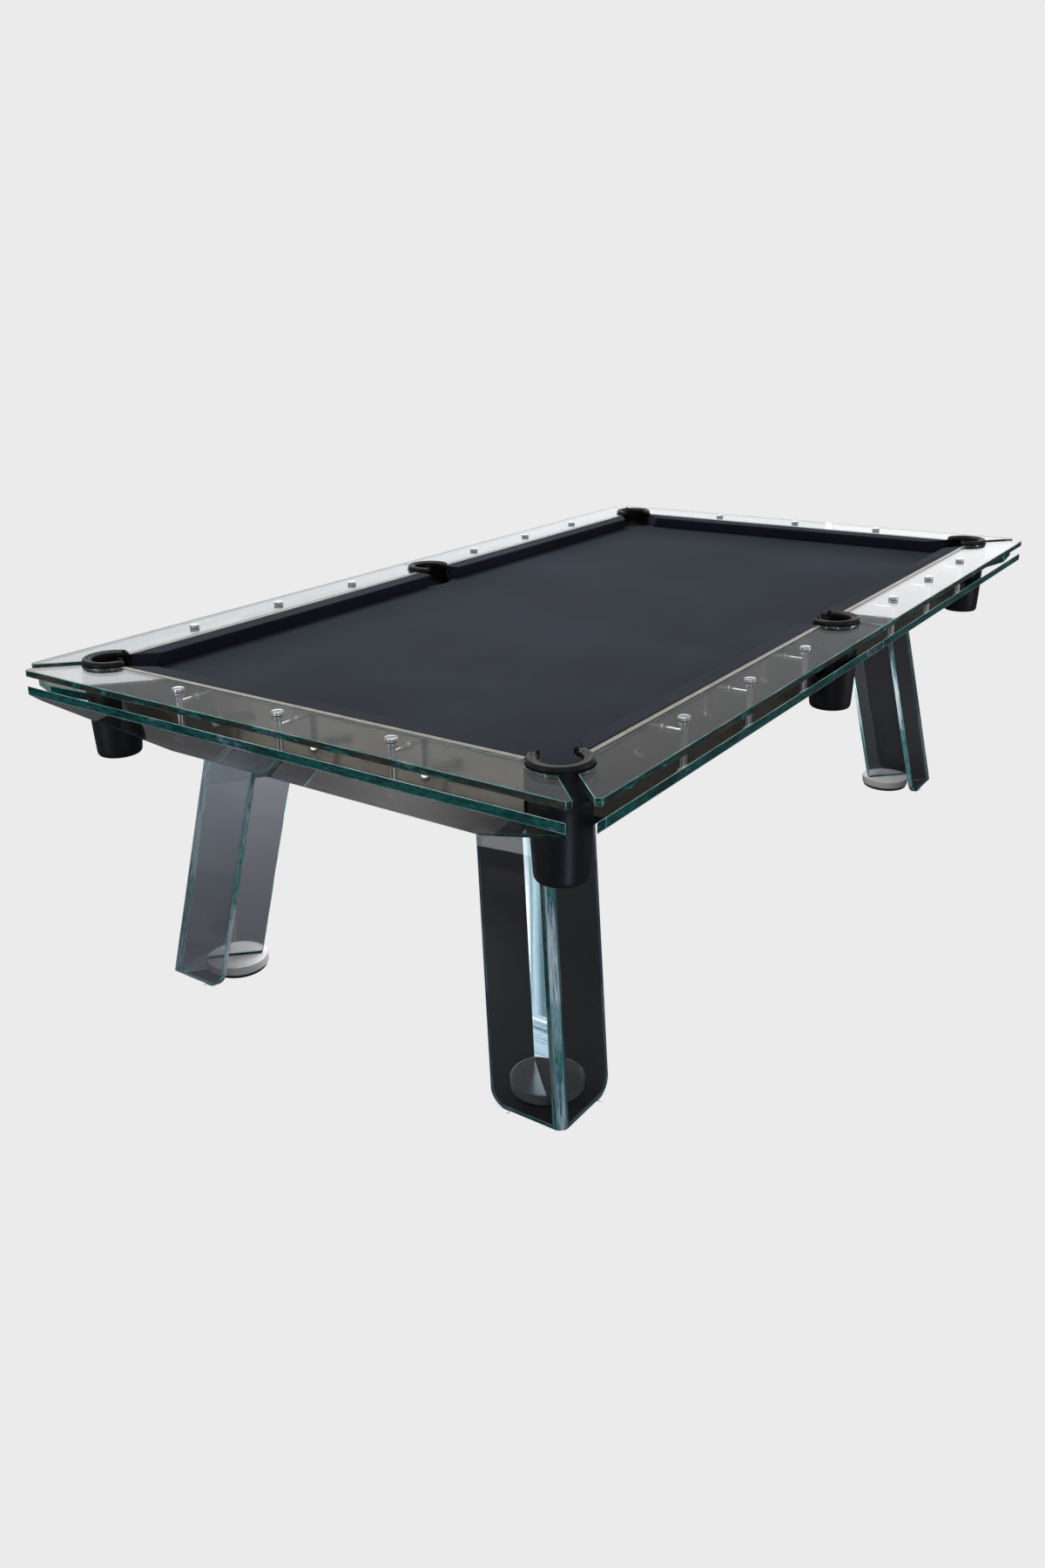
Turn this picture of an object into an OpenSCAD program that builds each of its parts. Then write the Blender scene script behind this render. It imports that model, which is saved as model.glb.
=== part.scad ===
// Pool table with glass rails and legs. +X runs along the length, +Y across, +Z up.
// The origin is on the floor under the middle of the table.
// Left is -X, right is +X, front is -Y and back is +Y.

/* [Playing field] */
// Width between the cushion noses; the length is twice this
field_w = 1120; // [1000:10:1270]
// Height of the cloth above the floor
bed_z = 745; // [700:1:800]
// Thickness of each slate slab
slate_t = 25; // [19:1:32]
// Height of the cushion nose above the cloth
nose_h = 36; // [34:0.5:37]
// Depth of a cushion from its nose to the rail board
cushion_d = 43; // [38:1:50]

/* [Rail glass] */
// Distance from the cushion nose to the outer edge of the glass
rail_w = 178; // [165:1:200]
// Width of the flat top plates
top_w = 120; // [110:1:125]
// Thickness of the rail glass
glass_t = 15; // [10:1:19]
// Height of the top plates' upper face above the cloth
glass_rise = 38; // [37:1:42]
// Gap in height between the top plates and the sloped plates
rail_gap = 21; // [15:1:30]
// How far the sloped plates reach in from the outer edge
slope_w = 158; // [140:1:165]
// How far the sloped plates fall over that distance
slope_drop = 131; // [120:1:150]
// Distance of the seam between two side plates from the side pocket's centre
seam_x = 18; // [0:1:25]
// Width of the open slot between two top plates at a corner
slot_w = 33; // [20:1:40]

/* [Pockets] */
// Outer diameter of a pocket cup at its bulge
cup_d = 125; // [115:1:130]
// Inset of a corner pocket's centre behind the nose lines
corner_set = 34.5; // [30:0.5:40]
// Inset of a side pocket's centre behind the nose line
side_set = 62; // [58:1:66]
// Height of a cup's underside above the floor
cup_base_z = 570; // [550:1:600]
// Outer diameter of a pocket collar
collar_d = 119; // [110:1:124]
// Width of the horseshoe collar's band
collar_band = 20; // [14:1:24]

/* [Posts] */
// Distance between posts along a rail
post_pitch = 283; // [250:1:290]
// Distance of the posts from the outer edge
post_inset = 71; // [60:1:80]
// Diameter of a post's shaft
post_d = 14; // [10:1:18]
// Diameter of a post's cap
cap_d = 24; // [18:1:30]

/* [Legs] */
// Distance of a leg's outer corner at the floor from the table's end
leg_set_x = 190; // [170:1:220]
// Distance of a leg's outer corner at the floor from the table's side
leg_set_y = 175; // [160:1:220]
// Lean of a leg towards the middle, in X and in Y, per unit of height
leg_lean = 0.154; // [0.1:0.001:0.17]
// Width of a leg's two outer plates
flank_w = 170; // [150:1:200]
// Thickness of a leg's outer plates
flank_t = 15; // [12:1:19]
// Length of a leg's diagonal plate
spine_w = 214; // [190:1:225]
// Thickness of a leg's diagonal plate
spine_t = 19; // [15:1:25]

/* [Feet] */
// Diameter of a foot disc
disc_d = 140; // [120:1:150]
// Height of the foot disc's upper face above the floor
disc_top = 30; // [26:1:36]
// Thickness of the levelling pad under a foot disc
pad_t = 8; // [6:1:10]
// Diameter of the levelling screw's thread
screw_d = 20; // [16:1:24]

/* [Hidden] */
$fn = 72;
half_l = field_w + rail_w;
half_w = field_w / 2 + rail_w;
nose_x = field_w;
nose_y = field_w / 2;
nose_z = bed_z + nose_h;
cloth_t = 1;
slate_top = bed_z - cloth_t;
slate_under = slate_top - slate_t;

// pockets
corner_x = nose_x + corner_set;
corner_y = nose_y + corner_set;
side_y = nose_y + side_set;
cup_r = cup_d / 2;
neck_r = cup_r - 3.5;
glass_cut_r = neck_r + 2;
clear_r = cup_r + 1;
slate_cut_r = clear_r + 1.5;
// distance from where two nose lines meet to the start of a corner jaw, and from the middle to a side jaw
corner_mouth = 82;
side_mouth = 65;
// angle between a jaw and its own rail
corner_jaw = 38;
side_jaw = 77;

// rail glass
glass_top = bed_z + glass_rise;
glass_under = glass_top - glass_t;
slope_z = glass_under - rail_gap;
slope_k = slope_drop / slope_w;
slope_a = atan(slope_k);
seam = 3;
// how far the pointed corner of a top plate is cut back, and the small bevel beside that cut
tip_cut = 12;
tip_bevel = 5;

// rail board behind the cushion, with the lip that shows beside the glass
board_in = cushion_d + 0.4;
board_t = 10;
board_lip = 14;
board_bottom = slate_under - 60;

// dark glass fascia behind the posts, standing just clear of the sloped plates
fascia_e = 118;
fascia_t = 6;
fascia_bottom = slope_z - slope_k * fascia_e + 1;
pin_z = glass_under - 18;
pin_d = 8;

// frame
beam_w = 60;
beam_h = 90;
beam_wall = 4;
beam_top = slate_under;
beam_under = beam_top - beam_h;
beam_in_x = nose_x - 35;
beam_in_y = nose_y - 15;
plate_t = 12;
plate_under = beam_under - plate_t;

// legs and feet
vertex_x = half_l - leg_set_x;
vertex_y = half_w - leg_set_y;
leg_clear = 6;
lean_a = atan(leg_lean);
foot_at = 163;
foot_x = vertex_x - foot_at / sqrt(2);
foot_y = vertex_y - foot_at / sqrt(2);
disc_under = pad_t + 1;
screw_top = disc_top - 3;

// quadrants: signs of X and Y, and the name of the corner
CORNERS = [[-1, -1, "front_left"], [1, -1, "front_right"], [-1, 1, "back_left"], [1, 1, "back_right"]];
ENDS = [[-1, "left"], [1, "right"]];
SIDES = [[-1, "front"], [1, "back"]];

// ---------------------------------------------------------------- placing

// copies what is modelled in the (+X, +Y) quadrant to the quadrant of signs sx, sy
module quadrant(sx, sy) mirror([sx < 0 ? 1 : 0, 0, 0]) mirror([0, sy < 0 ? 1 : 0, 0]) children();

module each_quadrant() for (c = CORNERS) quadrant(c[0], c[1]) children();

// centres of the six pockets, in plan
module each_pocket() {
    for (c = CORNERS) translate([c[0] * corner_x, c[1] * corner_y]) children();
    for (s = SIDES) translate([0, s[0] * side_y]) children();
}

// points of a half outline followed by the same points mirrored in Y
function both_ways(pts) = concat(pts, [for (i = [len(pts) - 1 : -1 : 0]) [pts[i][0], -pts[i][1]]]);

// places of the posts in the (+X, +Y) quadrant: the end rail's, then the side rail's
END_POSTS = [for (s = [-1, 0, 1]) [half_l - post_inset, s * post_pitch]];
SIDE_POSTS = [for (i = [1, 2, 3]) [i * post_pitch, half_w - post_inset]];

// turns +X of a post's own frame outwards, on every rail
module each_post() {
    for (s = ENDS, p = END_POSTS) translate([s[0] * p[0], p[1], 0]) rotate(s[0] > 0 ? 0 : 180) children();
    for (c = CORNERS, p = SIDE_POSTS)
        translate([c[0] * p[0], c[1] * p[1], 0]) rotate(c[1] * 90) children();
}

// ---------------------------------------------------------------- slate and cloth

module bed_outline(edge) difference() {
    square([2 * (nose_x + edge), 2 * (nose_y + edge)], center = true);
    each_pocket() circle(r = slate_cut_r);
}

module slate(i) color("dimgray") {
    span = 2 * (nose_x + cushion_d) / 3;
    joint_gap = 0.4;
    translate([0, 0, slate_under]) linear_extrude(slate_t) intersection() {
        bed_outline(cushion_d);
        translate([i * span, 0]) square([span - joint_gap, 2 * half_w], center = true);
    }
}

module bed_cloth() color("#262b38")
    translate([0, 0, slate_top]) linear_extrude(cloth_t) bed_outline(cushion_d);

// ---------------------------------------------------------------- frame

module tube_x(length) difference() {
    translate([-length / 2, -beam_w / 2, 0]) cube([length, beam_w, beam_h]);
    translate([-length / 2 - 1, beam_wall - beam_w / 2, beam_wall])
        cube([length + 2, beam_w - 2 * beam_wall, beam_h - 2 * beam_wall]);
}

module frame_side_beams() color("#1c1c1e") for (s = SIDES)
    translate([0, s[0] * (beam_in_y - beam_w / 2), beam_under]) tube_x(2 * beam_in_x);

module frame_end_beams() color("#1c1c1e") for (s = ENDS)
    translate([s[0] * (beam_in_x - beam_w / 2), 0, beam_under])
        rotate(90) tube_x(2 * (beam_in_y - beam_w));

module frame_cross_beams() color("#1c1c1e") for (i = [-1, 0, 1])
    translate([i * 2 * (nose_x + cushion_d) / 6, 0, beam_under])
        rotate(90) tube_x(2 * (beam_in_y - beam_w));

// square steel plate under the frame's corner, with the leg's glass bonded beneath it
plate_reach = 250;
module plate_bolts() for (d = [30, plate_reach - 45])
    for (p = [[beam_in_x - beam_w / 2, beam_in_y - d], [beam_in_x - d, beam_in_y - beam_w / 2]])
        translate([p[0], p[1], 0]) children();

module leg_mounting_plates() color("#2a2a2c") each_quadrant() difference() {
    translate([beam_in_x - plate_reach, beam_in_y - plate_reach, plate_under])
        cube([plate_reach, plate_reach, plate_t]);
    plate_bolts() translate([0, 0, plate_under - 1]) cylinder(d = 10.4, h = plate_t + 2);
}

module frame_bolts() color("silver") each_quadrant() plate_bolts() {
    translate([0, 0, plate_under - 6]) cylinder(d = 18, h = 6, $fn = 6);
    translate([0, 0, plate_under - 1]) cylinder(d = 10, h = plate_t + 1);
}

// ---------------------------------------------------------------- rail boards and fascia

// section of a rail board: distance out from the nose line, then height
module board_section() polygon([[board_in, board_bottom], [board_in + board_t, board_bottom],
    [board_in + board_t, glass_under], [board_in + board_lip, glass_under],
    [board_in + board_lip, glass_top], [board_in, glass_top]]);

// a section set on the end rail or on the side rail, over a length from the middle both ways
module end_run(reach) translate([nose_x, reach, 0]) rotate([90, 0, 0]) linear_extrude(2 * reach) children();
module side_run(reach) translate([-reach, nose_y, 0]) rotate([90, 0, 90]) linear_extrude(2 * reach) children();

module pocket_bores(r) each_pocket() translate([0, 0, cup_base_z - 5]) cylinder(r = r, h = 300);

module rail_boards() color("#b9a58a") difference() {
    union() {
        for (s = ENDS) quadrant(s[0], 1) end_run(nose_y + board_in - 1) board_section();
        for (s = SIDES) quadrant(1, s[0]) side_run(nose_x + board_in - 1) board_section();
    }
    pocket_bores(clear_r);
}

module fascia_section() translate([rail_w - fascia_e - fascia_t, fascia_bottom])
    square([fascia_t, glass_under - fascia_bottom]);

module fascia_plates() color("#3a3634") difference() {
    union() {
        for (s = ENDS) quadrant(s[0], 1) end_run(corner_y) fascia_section();
        for (s = SIDES) quadrant(1, s[0]) side_run(corner_x) fascia_section();
    }
    pocket_bores(clear_r);
}

// ---------------------------------------------------------------- glass rails

slot_s = slot_w / (2 * sqrt(2));
end_tip_y = corner_y + half_l - tip_cut - corner_x - 2 * slot_s;
side_tip_x = corner_x + half_w - tip_cut - corner_y - 2 * slot_s - 3;

module end_top_outline() polygon(both_ways([[half_l - top_w, corner_y], [corner_x + slot_s, corner_y - slot_s],
    [half_l - tip_cut, end_tip_y], [half_l, end_tip_y - tip_bevel]]));

// outline of a side plate of the (+X, +Y) quadrant, starting at the distance from the side pocket's centre
module side_top_outline(from) polygon([[from, half_w - top_w], [corner_x, half_w - top_w],
    [corner_x - slot_s, corner_y + slot_s], [side_tip_x, half_w - tip_cut], [side_tip_x - tip_bevel, half_w],
    [from, half_w]]);

// where a side plate starts: the seam lies to the right of the side pockets' centres
function seam_side(sx) = sx * seam_x + seam / 2;

module top_plate() color("#9fb8b4", 0.5) translate([0, 0, glass_under]) difference() {
    linear_extrude(glass_t) difference() {
        children();
        each_pocket() circle(r = glass_cut_r);
    }
    each_post() translate([0, 0, -1]) cylinder(d = post_d + 1, h = glass_t + 2);
}

module top_glass_end(s) quadrant(s, 1) top_plate() end_top_outline();
module top_glass_side(sx, sy) quadrant(sx, sy) top_plate() side_top_outline(seam_side(sx));

// section of a sloped plate: its outer edge is ground vertical
slope_edge = glass_t / cos(slope_a);
module slope_section() polygon([[rail_w, slope_z], [rail_w - slope_w, slope_z - slope_drop],
    [rail_w - slope_w + glass_t * sin(slope_a), slope_z - slope_drop - glass_t * cos(slope_a)],
    [rail_w, slope_z - slope_edge]]);

// the sloped plates' ends are cut back from the corner, so that they are longest at the top
end_slope_top = 698;
end_slope_low = 398;
side_slope_top = 1244;
side_slope_low = 968;
module end_slope_outline() polygon(both_ways([[half_l - slope_w - 1, end_slope_low],
    [half_l - 24, end_slope_top - 12], [half_l + 1, end_slope_top]]));
module side_slope_outline(from) polygon([[from, half_w - slope_w - 1], [side_slope_low, half_w - slope_w - 1],
    [side_slope_top - 12, half_w - 24], [side_slope_top, half_w + 1], [from, half_w + 1]]);

module sloped_glass_end(s) color("#7f9c98", 0.5) quadrant(s, 1) intersection() {
    end_run(half_w) slope_section();
    translate([0, 0, cup_base_z - 50]) linear_extrude(400) end_slope_outline();
}

module sloped_glass_side(sx, sy) color("#7f9c98", 0.5) quadrant(sx, sy) intersection() {
    side_run(half_l) slope_section();
    translate([0, 0, cup_base_z - 50]) linear_extrude(400) difference() {
        side_slope_outline(seam_side(sx));
        each_pocket() circle(r = clear_r);
    }
}

// ---------------------------------------------------------------- cushions

// section: nose at the top of the front face, then back along the flat top
module cushion_section() polygon([[0, nose_z], [cushion_d, glass_top], [cushion_d, bed_z],
    [14, bed_z], [1, nose_z - 7]]);

// plan of the end rail's cushion, and of one side cushion, with their jaws
function jaw_run(a) = cushion_d * tan(90 - a);
module end_cushion_outline() {
    y = nose_y - corner_mouth;
    polygon(both_ways([[nose_x - 1, y - 1 / tan(corner_jaw)], [nose_x + cushion_d, y + jaw_run(corner_jaw)]]));
}
module side_cushion_outline() {
    x = nose_x - corner_mouth;
    polygon([[side_mouth, nose_y - 1], [side_mouth - jaw_run(side_jaw), nose_y + cushion_d],
        [x + jaw_run(corner_jaw), nose_y + cushion_d], [x - 1 / tan(corner_jaw), nose_y - 1]]);
}

module cushion_cut() translate([0, 0, bed_z - 1]) linear_extrude(60) difference() {
    children();
    each_pocket() circle(r = clear_r);
}

module cushion_end(s) color("#232838") quadrant(s, 1) intersection() {
    end_run(nose_y) cushion_section();
    cushion_cut() end_cushion_outline();
}

module cushion_side(sx, sy) color("#232838") quadrant(sx, sy) intersection() {
    side_run(nose_x) cushion_section();
    cushion_cut() side_cushion_outline();
}

// ---------------------------------------------------------------- pockets

cup_wall = 3.5;
cup_foot_r = cup_r - 13;
cup_seam_z = slate_under + 3;
mouth_w = 96;

// half section of a cup: rounded foot, tapered body, seam, bulge
module cup_section() difference() {
    polygon([[0, cup_base_z], [cup_foot_r - 8, cup_base_z], [cup_foot_r - 2, cup_base_z + 3],
        [cup_foot_r, cup_base_z + 10], [cup_r - 5, cup_seam_z - 1], [cup_r - 5, cup_seam_z + 2],
        [cup_r - 1, cup_seam_z + 8], [cup_r, cup_seam_z + 18], [cup_r, glass_under - 16],
        [neck_r, glass_under - 3], [neck_r, glass_top], [0, glass_top]]);
    polygon([[-1, cup_base_z + cup_wall], [cup_foot_r - 10, cup_base_z + cup_wall],
        [cup_foot_r - cup_wall, cup_base_z + 12], [cup_r - 5 - cup_wall, cup_seam_z + 2],
        [neck_r - cup_wall, cup_seam_z + 18], [neck_r - cup_wall, glass_top + 1], [-1, glass_top + 1]]);
}

// +X of a pocket's own frame points to the middle of the field
module pocket_cup() color("#141518") difference() {
    rotate_extrude() cup_section();
    translate([0, -mouth_w / 2, slate_top]) cube([cup_d, mouth_w, 100]);
}

function inward(sx, sy) = atan2(-sy, -sx);
module corner_cup(sx, sy) translate([sx * corner_x, sy * corner_y, 0]) rotate(inward(sx, sy)) pocket_cup();
module side_cup(sy) translate([0, sy * side_y, 0]) rotate(-sy * 90) pocket_cup();

// horseshoe band with two ridges, open towards the field for twice this angle
collar_h = 12;
collar_open = 58;
module collar_section() translate([collar_d / 2 - collar_band, 0]) {
    inner_bead = 4.5;
    outer_bead = 5.5;
    square([collar_band, collar_h - 4]);
    translate([inner_bead, collar_h - inner_bead]) circle(r = inner_bead);
    translate([collar_band - outer_bead, collar_h - outer_bead]) circle(r = outer_bead);
    translate([inner_bead, 2]) square([collar_band - inner_bead - outer_bead, collar_h - 4]);
}

module collar() {
    difference() {
        rotate_extrude() collar_section();
        linear_extrude(3 * collar_h, center = true)
            polygon([[0, 0], [150, -150 * tan(collar_open)], [150, 150 * tan(collar_open)]]);
    }
    for (s = [-1, 1]) rotate(s * collar_open) translate([collar_d / 2 - collar_band / 2, 0, 0])
        cylinder(d = collar_band - 0.5, h = collar_h - 3);
}

module pocket_collars() color("#17181a") translate([0, 0, glass_top]) {
    for (c = CORNERS) translate([c[0] * corner_x, c[1] * corner_y]) rotate(inward(c[0], c[1])) collar();
    for (s = SIDES) translate([0, s[0] * side_y]) rotate(-s[0] * 90) collar();
}

// ---------------------------------------------------------------- posts

// height of the sloped plate's upper face under a post's axis
post_foot_z = slope_z - slope_k * post_inset;
cap_h = 8;
foot_h = 5;

module post_shafts() color("silver") each_post() difference() {
    union() {
        translate([0, 0, post_foot_z]) cylinder(d = post_d, h = glass_top - post_foot_z);
        translate([0, 0, glass_under - 4]) cylinder(d = post_d + 6, h = 4);
    }
    translate([0, 0, post_foot_z]) rotate([0, -slope_a, 0]) translate([-50, -50, foot_h - 100])
        cube([100, 100, 100]);
}

module post_caps() color("silver") each_post() translate([0, 0, glass_top]) rotate_extrude()
    polygon([[0, 0], [cap_d / 2, 0], [cap_d / 2, 3], [cap_d / 2 - 1, 3.6], [cap_d / 2 - 1, 4.4],
        [cap_d / 2, 5], [cap_d / 2, cap_h - 1], [cap_d / 2 - 1, cap_h], [0, cap_h]]);

// tilted flange that lies flat on the sloped plate
module post_feet() color("silver") each_post() translate([0, 0, post_foot_z]) rotate([0, -slope_a, 0])
    cylinder(d = cap_d, h = foot_h);

module post_pins() color("silver") each_post() translate([0, 0, pin_z]) {
    reach = fascia_e - post_inset;
    translate([-reach, 0, 0]) rotate([0, 90, 0]) cylinder(d = pin_d, h = reach - post_d / 2);
    translate([-reach, 0, 0]) rotate([0, 90, 0]) cylinder(d = pin_d + 8, h = 2);
}

// ---------------------------------------------------------------- legs

leg_top = plate_under;
corner_r = 44;
leg_long = 900;

// outline of a flank in its own leaning plane: distance from the vertex, height along the plane;
// its free lower corner is rounded
module flank_outline() {
    k = leg_lean * cos(lean_a);
    low = leg_clear / cos(lean_a);
    bend = low + corner_r;
    high = leg_top / cos(lean_a);
    difference() {
        polygon([[k * low, low], [flank_w + k * low, low], [flank_w + k * high, high], [k * high, high]]);
        difference() {
            translate([flank_w - corner_r, low - 1]) square([2 * corner_r, corner_r + 1]);
            translate([flank_w + k * bend - corner_r, bend]) circle(r = corner_r);
        }
    }
}

// the flank across the table's length, in the (+X, +Y) quadrant; its outer face leans with the vertex
module end_flank() translate([vertex_x, vertex_y, 0]) rotate([0, -lean_a, 0])
    rotate([90, 0, -90]) linear_extrude(flank_t) flank_outline();

module side_flank() translate([vertex_x, vertex_y, 0]) rotate([lean_a, 0, 0])
    mirror([1, 0, 0]) rotate([90, 0, 0]) linear_extrude(flank_t) flank_outline();

// the space on one side of the diagonal plate: side is -1 for the end flank, 1 for the side flank
module beside_spine(side) translate([vertex_x, vertex_y, leg_clear]) rotate(45)
    translate([-leg_long, side > 0 ? spine_t / 2 : -leg_long - spine_t / 2, 0])
        cube([2 * leg_long, leg_long, leg_top - leg_clear]);

// slab of a thickness, leaning with the leg, between two distances from the vertex
module spine_slab(t, from, to) translate([vertex_x, vertex_y, 0]) rotate(225) {
    k = leg_lean * sqrt(2);
    translate([0, t / 2, 0]) rotate([90, 0, 0]) linear_extrude(t) polygon([
        [from, 0], [to, 0], [to + k * leg_long, leg_long], [from + k * leg_long, leg_long]]);
}

module leg_flanks(sx, sy) color("#8aa5a2", 0.5) quadrant(sx, sy) {
    intersection() {
        end_flank();
        beside_spine(-1);
    }
    intersection() {
        side_flank();
        beside_spine(1);
    }
}

module leg_spine(sx, sy) color("#6f9a96", 0.5) quadrant(sx, sy) intersection() {
    spine_slab(spine_t, spine_t / 2, spine_w);
    union() {
        translate([0, 0, disc_top]) cube([half_l, half_w, leg_top - disc_top]);
        translate([0, 0, leg_clear]) linear_extrude(disc_top) difference() {
            square([half_l, half_w]);
            translate([foot_x, foot_y]) circle(d = disc_d + 3);
        }
    }
}

// ---------------------------------------------------------------- feet

module at_foot(sx, sy) translate([sx * foot_x, sy * foot_y, 0]) children();

module foot_disc(sx, sy) color("silver") at_foot(sx, sy) difference() {
    translate([0, 0, disc_under]) rotate_extrude() polygon([[0, 0], [disc_d / 2 - 1, 0],
        [disc_d / 2, 1], [disc_d / 2, disc_top - disc_under - 1], [disc_d / 2 - 1, disc_top - disc_under],
        [0, disc_top - disc_under]]);
    translate([0, 0, disc_under - 1]) cylinder(d = screw_d + 0.1, h = screw_top - disc_under + 1.5);
}

// the pad turns freely on the end of its screw
module level_pad(sx, sy) color("dimgray") at_foot(sx, sy) difference() {
    rotate_extrude() polygon([[0, 0], [disc_d / 2 - 5, 0], [disc_d / 2 - 4, 1], [disc_d / 2 - 4, pad_t], [0, pad_t]]);
    translate([0, 0, 3]) cylinder(d = screw_d + 0.1, h = pad_t);
}

module level_screw(sx, sy) color("gray") at_foot(sx, sy) translate([0, 0, 3])
    cylinder(d = screw_d, h = screw_top - 3);

// ---------------------------------------------------------------- parts

slate(-1);  // slate_left
slate(0);  // slate_middle
slate(1);  // slate_right
bed_cloth();
frame_side_beams();
frame_end_beams();
frame_cross_beams();
leg_mounting_plates();
frame_bolts();
rail_boards();
fascia_plates();
pocket_collars();
post_shafts();
post_caps();
post_feet();
post_pins();
for (s = ENDS) {
    top_glass_end(s[0]);
    sloped_glass_end(s[0]);
    cushion_end(s[0]);
}
for (s = SIDES) {
    side_cup(s[0]);
}
for (c = CORNERS) {
    top_glass_side(c[0], c[1]);
    sloped_glass_side(c[0], c[1]);
    cushion_side(c[0], c[1]);
    corner_cup(c[0], c[1]);
    leg_flanks(c[0], c[1]);
    leg_spine(c[0], c[1]);
    foot_disc(c[0], c[1]);
    level_pad(c[0], c[1]);
    level_screw(c[0], c[1]);
}
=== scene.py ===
import math

import bmesh
import bpy
from mathutils import Matrix, Vector


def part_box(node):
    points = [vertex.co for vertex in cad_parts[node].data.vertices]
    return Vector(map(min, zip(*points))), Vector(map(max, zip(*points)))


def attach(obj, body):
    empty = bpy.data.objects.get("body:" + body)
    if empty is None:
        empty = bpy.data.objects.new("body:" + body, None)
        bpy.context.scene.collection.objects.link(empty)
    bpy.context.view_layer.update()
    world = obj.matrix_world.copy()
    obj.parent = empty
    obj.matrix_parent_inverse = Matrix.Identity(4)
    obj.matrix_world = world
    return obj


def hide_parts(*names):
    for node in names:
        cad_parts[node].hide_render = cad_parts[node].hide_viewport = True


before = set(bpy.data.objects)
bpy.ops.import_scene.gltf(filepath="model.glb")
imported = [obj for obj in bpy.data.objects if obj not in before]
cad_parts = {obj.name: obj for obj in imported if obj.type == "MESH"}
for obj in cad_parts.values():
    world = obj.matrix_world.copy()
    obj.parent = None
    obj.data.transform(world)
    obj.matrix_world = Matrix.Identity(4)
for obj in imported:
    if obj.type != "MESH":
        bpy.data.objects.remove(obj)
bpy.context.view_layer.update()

MM = 0.001
CORNERS = ("front_left", "front_right", "back_left", "back_right")
ENDS = ("left", "right")
SIDES = ("front", "back")
RAILS = ENDS + CORNERS
POCKETS = CORNERS + SIDES


# ---------------------------------------------------------------- measures taken from the frame

def centre(box):
    return (box[0] + box[1]) / 2


def middle_sign(value):
    return 1 if value > 0 else -1


def pocket_centre(name):
    return centre(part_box("pocket_cup_" + name))


GLASS_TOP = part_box("top_glass_left")[1].z
GLASS_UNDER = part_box("top_glass_left")[0].z
CLOTH_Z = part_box("bed_cloth")[1].z
SLATE_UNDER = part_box("slate_left")[0].z
CUP_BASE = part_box("pocket_cup_front")[0].z
CUP_RADIUS = (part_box("pocket_cup_front")[1].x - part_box("pocket_cup_front")[0].x) / 2


# ---------------------------------------------------------------- mesh helpers

def cad_copy(node):
    """The node's own shape as one connected mesh with flat faces joined."""
    bm = bmesh.new()
    bm.from_mesh(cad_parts[node].data)
    bmesh.ops.remove_doubles(bm, verts=bm.verts, dist=0.02 * MM)
    bmesh.ops.dissolve_limit(bm, angle_limit=math.radians(0.5), verts=bm.verts, edges=bm.edges)
    return bm


def soften(bm, width, segments=2, over=30, finish_at=-1):
    """Rounds every edge that is sharper than an angle, as a sander or a fold of cloth would."""
    sharp = [e for e in bm.edges if len(e.link_faces) == 2 and e.calc_face_angle(0) > math.radians(over)]
    bmesh.ops.bevel(bm, geom=sharp, offset=width, offset_type="OFFSET", segments=segments, profile=0.5,
                    affect="EDGES", clamp_overlap=False, material=finish_at)


def solids(bm):
    """Lists of the faces of each separate solid."""
    left = set(bm.faces)
    found = []
    while left:
        stack = [left.pop()]
        group = []
        while stack:
            face = stack.pop()
            group.append(face)
            for edge in face.edges:
                for other in edge.link_faces:
                    if other in left:
                        left.remove(other)
                        stack.append(other)
        found.append(group)
    return found


def solid_centres(node):
    """Middle of the box of each solid in a node."""
    bm = cad_copy(node)
    found = []
    for faces in solids(bm):
        points = [v.co for f in faces for v in f.verts]
        low = Vector(min(p[i] for p in points) for i in range(3))
        high = Vector(max(p[i] for p in points) for i in range(3))
        found.append((low + high) / 2)
    bm.free()
    return found


def lathe(profile, steps=48):
    """Turns an outline of (radius, height) pairs round Z."""
    bm = bmesh.new()
    line = [bm.verts.new((r, 0, z)) for r, z in profile]
    edges = [bm.edges.new(pair) for pair in zip(line, line[1:])]
    bmesh.ops.spin(bm, geom=line + edges, cent=(0, 0, 0), axis=(0, 0, 1), angle=2 * math.pi, steps=steps,
                   use_merge=True)
    bmesh.ops.remove_doubles(bm, verts=bm.verts, dist=0.001 * MM)
    bmesh.ops.recalc_face_normals(bm, faces=bm.faces)
    return bm


def stamp(bm, part, at):
    """Adds a copy of a part to a mesh, at a place."""
    copy = bpy.data.meshes.new("stamp")
    part.to_mesh(copy)
    copy.transform(at)
    bm.from_mesh(copy)
    bpy.data.meshes.remove(copy)


def piece(name, bm, finishes, body="root", crease=35):
    """Makes the mesh an object of the table, riding on a body."""
    mesh = bpy.data.meshes.new(name)
    bm.to_mesh(mesh)
    bm.free()
    for material in finishes:
        mesh.materials.append(material)
    mesh.shade_smooth()
    mesh.set_sharp_from_angle(angle=math.radians(crease))
    made = bpy.data.objects.new(name, mesh)
    bpy.context.scene.collection.objects.link(made)
    even = made.modifiers.new("even_shading", "WEIGHTED_NORMAL")
    even.keep_sharp = True
    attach(made, body)
    return made


# ---------------------------------------------------------------- material helpers

def finish(name, colour, roughness, **sockets):
    """A new material; sockets name the shader's own inputs, with _ for a space."""
    material = bpy.data.materials.new(name)
    material.use_nodes = True
    shader = material.node_tree.nodes["Principled BSDF"]
    shader.inputs["Base Color"].default_value = (*colour, 1)
    shader.inputs["Roughness"].default_value = roughness
    for socket, value in sockets.items():
        shader.inputs[socket.replace("_", " ")].default_value = value
    return material


def shader_of(material):
    return material.node_tree.nodes["Principled BSDF"]


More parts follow.
